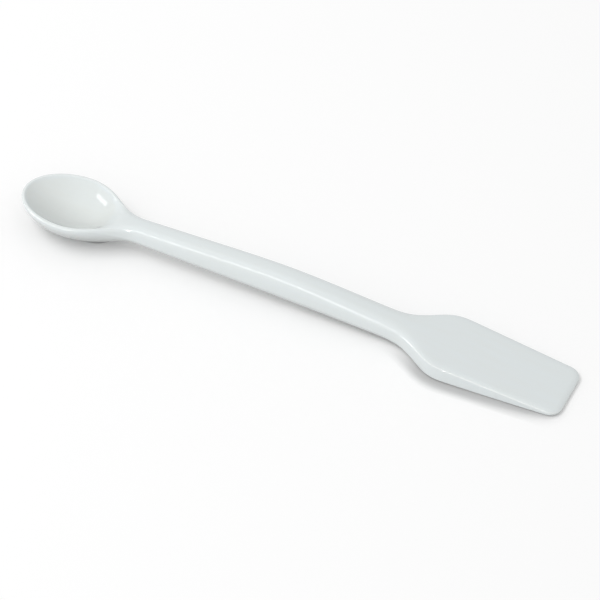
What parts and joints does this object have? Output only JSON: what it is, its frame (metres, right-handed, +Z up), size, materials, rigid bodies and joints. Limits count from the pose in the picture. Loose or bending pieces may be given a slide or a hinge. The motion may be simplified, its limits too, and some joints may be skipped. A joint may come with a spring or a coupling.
{
  "type": "lab spatula",
  "caption": "White glazed porcelain lab spatula moulded whole, with an oval spoon bowl, a rounded handle and a flat wedge blade for scooping, scraping and mixing powders.",
  "frame": {"origin": "on the bench the spatula lies on, under the middle of its length and width", "axes": "+X along the handle from the bowl's tip to the blade's edge, +Y across, +Z up out of the bowl"},
  "size_m": [0.15, 0.0196, 0.0099],
  "materials": {
    "porcelain": "clear gloss glaze over white porcelain"
  },
  "bodies": {
    "root": {"spatula": "porcelain"}
  },
  "joints": []
}
